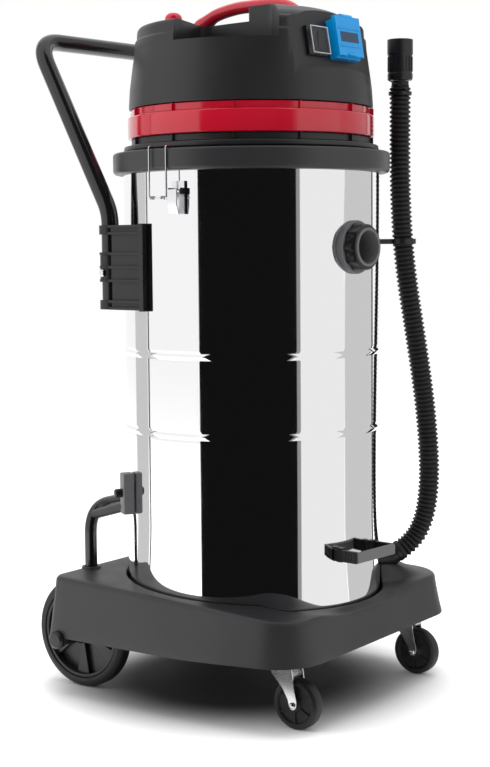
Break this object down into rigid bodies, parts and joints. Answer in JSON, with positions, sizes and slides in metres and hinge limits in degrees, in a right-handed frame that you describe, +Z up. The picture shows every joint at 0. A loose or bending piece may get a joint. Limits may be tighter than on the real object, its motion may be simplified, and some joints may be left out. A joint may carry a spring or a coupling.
{
  "type": "shop vacuum",
  "caption": "Upright wet and dry shop vacuum: steel tank on a wheeled trolley, lift-off motor head with carry handle, push bar, side latches and drain hose.",
  "frame": {"origin": "on the floor, below the middle of the footprint of everything but the drain hose and its cuff", "axes": "+Z up, front (inlet and control panel) towards -Y, right-hand side as seen from behind towards +X"},
  "size_m": [0.496, 0.553, 1.074],
  "materials": {
    "trolley_plastic": "moulded, fine grain",
    "head_plastic": "satin moulded",
    "red_plastic": "glossy",
    "black_plastic": "satin moulded",
    "black_paint": "gloss powder coat",
    "blue_plastic": "satin gloss",
    "clear_plastic": "clear",
    "mirror_steel": "polished stainless steel",
    "zinc": "bright zinc plate",
    "rubber": "matt",
    "motor_metal": "cast",
    "filter_cloth": "felt",
    "float_plastic": "smooth"
  },
  "bodies": {
    "tank_and_trolley": {"trolley_base": "trolley_plastic", "rear_axle": "zinc", "rear_hoop": "black_paint", "hoop_block": "trolley_plastic", "hoop_bolt": "black_plastic", "tank_shell": "mirror_steel", "tank_rim": "black_plastic", "inlet_spigot": "black_plastic", "inlet_ring": "black_plastic", "inlet_deflector": "black_plastic", "front_pull_handle": "trolley_plastic", "push_handle": "black_paint", "drain_elbow": "black_plastic", "drain_hose": "rubber", "hose_cuff": "black_plastic", "hose_clip": "black_plastic", "filter_bag": "filter_cloth", "axle_cap_left": "black_plastic", "caster_plate_left": "zinc", "handle_bracket_left": "black_plastic", "bracket_screw_left": "zinc", "latch_base_left": "zinc", "axle_cap_right": "black_plastic", "caster_plate_right": "zinc", "handle_bracket_right": "black_plastic", "bracket_screw_right": "zinc", "latch_base_right": "zinc"},
    "head": {"head_base": "head_plastic", "head_seal": "rubber", "red_band": "red_plastic", "head_cover": "head_plastic", "carry_handle": "red_plastic", "switch_bezel": "black_plastic", "switch_cover": "clear_plastic", "socket_body": "blue_plastic", "cable_gland": "black_plastic", "motor_left": "motor_metal", "motor_right": "motor_metal", "float_cage": "black_plastic"},
    "button": {"filter_button": "red_plastic"},
    "outlet_lid": {"socket_lid": "blue_plastic"},
    "ball": {"float_ball": "float_plastic"},
    "rear_wheel_set_left": {"rear_wheel_left": "black_plastic", "rear_tyre_left": "rubber"},
    "caster_swivel_left": {"caster_fork_left": "zinc", "caster_bolt_left": "zinc"},
    "caster_roller_left": {"caster_wheel_left": "rubber"},
    "lever_left": {"latch_lever_left": "zinc"},
    "bail_left": {"latch_bail_left": "zinc"},
    "switch_left": {"rocker_left": "black_plastic"},
    "fan_rotor_left": {"fan_left": "motor_metal"},
    "rear_wheel_set_right": {"rear_wheel_right": "black_plastic", "rear_tyre_right": "rubber"},
    "caster_swivel_right": {"caster_fork_right": "zinc", "caster_bolt_right": "zinc"},
    "caster_roller_right": {"caster_wheel_right": "rubber"},
    "lever_right": {"latch_lever_right": "zinc"},
    "bail_right": {"latch_bail_right": "zinc"},
    "switch_right": {"rocker_right": "black_plastic"},
    "fan_rotor_right": {"fan_right": "motor_metal"}
  },
  "joints": [
    {"name": "head_lift", "type": "slide", "parent": "tank_and_trolley", "child": "head", "axis": [0, 0, 1], "range_m": [0, 0.3]},
    {"name": "button_press", "type": "slide", "parent": "head", "child": "button", "axis": [0, 0, -1], "range_m": [0, 0.008], "stiffness_N_per_m": 400, "springref_m": -0.003},
    {"name": "outlet_lid_hinge", "type": "hinge", "parent": "head", "child": "outlet_lid", "pos_m": [0.00969, -0.198, 1.03421], "axis": [-0.9954, 0.0958, 0], "range_deg": [0, 100], "stiffness_Nm_per_rad": 0.03, "springref_deg": -20.05},
    {"name": "float_rise", "type": "slide", "parent": "head", "child": "ball", "axis": [0, 0, 1], "range_m": [0, 0.03]},
    {"name": "rear_wheel_spin_left", "type": "hinge", "parent": "tank_and_trolley", "child": "rear_wheel_set_left", "pos_m": [-0.1745, 0.1744, 0.087], "axis": [1, 0, 0], "continuous": true},
    {"name": "caster_turn_left", "type": "hinge", "parent": "tank_and_trolley", "child": "caster_swivel_left", "pos_m": [-0.176, -0.2106, 0.0965], "axis": [0, 0, 1], "continuous": true},
    {"name": "caster_roll_left", "type": "hinge", "parent": "caster_swivel_left", "child": "caster_roller_left", "pos_m": [-0.176, -0.2306, 0.0375], "axis": [1, 0, 0], "continuous": true},
    {"name": "latch_lever_swing_left", "type": "hinge", "parent": "tank_and_trolley", "child": "lever_left", "pos_m": [-0.21049, -0.03444, 0.776], "axis": [-0.0087, 1, 0], "range_deg": [0, 110]},
    {"name": "latch_bail_swing_left", "type": "hinge", "parent": "lever_left", "child": "bail_left", "pos_m": [-0.21719, -0.03449, 0.766], "axis": [-0.0087, 1, 0], "range_deg": [-110, 0]},
    {"name": "switch_rock_left", "type": "hinge", "parent": "head", "child": "switch_left", "pos_m": [-0.06326, -0.1867, 0.99385], "axis": [-0.9954, 0.0958, 0], "range_deg": [0, 12]},
    {"name": "fan_spin_left", "type": "hinge", "parent": "head", "child": "fan_rotor_left", "pos_m": [-0.07465, -0.02541, 0.9], "axis": [0, 0, 1], "continuous": true},
    {"name": "rear_wheel_spin_right", "type": "hinge", "parent": "tank_and_trolley", "child": "rear_wheel_set_right", "pos_m": [0.1745, 0.1744, 0.087], "axis": [1, 0, 0], "continuous": true},
    {"name": "caster_turn_right", "type": "hinge", "parent": "tank_and_trolley", "child": "caster_swivel_right", "pos_m": [0.176, -0.2106, 0.0965], "axis": [0, 0, 1], "continuous": true},
    {"name": "caster_roll_right", "type": "hinge", "parent": "caster_swivel_right", "child": "caster_roller_right", "pos_m": [0.176, -0.2306, 0.0375], "axis": [1, 0, 0], "continuous": true},
    {"name": "latch_lever_swing_right", "type": "hinge", "parent": "tank_and_trolley", "child": "lever_right", "pos_m": [0.20627, -0.07457, 0.776], "axis": [-0.1994, -0.9799, 0], "range_deg": [0, 110]},
    {"name": "latch_bail_swing_right", "type": "hinge", "parent": "lever_right", "child": "bail_right", "pos_m": [0.21284, -0.0759, 0.766], "axis": [-0.1994, -0.9799, 0], "range_deg": [-110, 0]},
    {"name": "switch_rock_right", "type": "hinge", "parent": "head", "child": "switch_right", "pos_m": [-0.04296, -0.18865, 0.99385], "axis": [-0.9954, 0.0958, 0], "range_deg": [0, 12]},
    {"name": "fan_spin_right", "type": "hinge", "parent": "head", "child": "fan_rotor_right", "pos_m": [0.07465, -0.03979, 0.9], "axis": [0, 0, 1], "continuous": true}
  ],
  "couplings": [
    {"joint": "latch_bail_swing_left", "follows": "latch_lever_swing_left", "ratio": -1},
    {"joint": "latch_bail_swing_right", "follows": "latch_lever_swing_right", "ratio": -1}
  ]
}
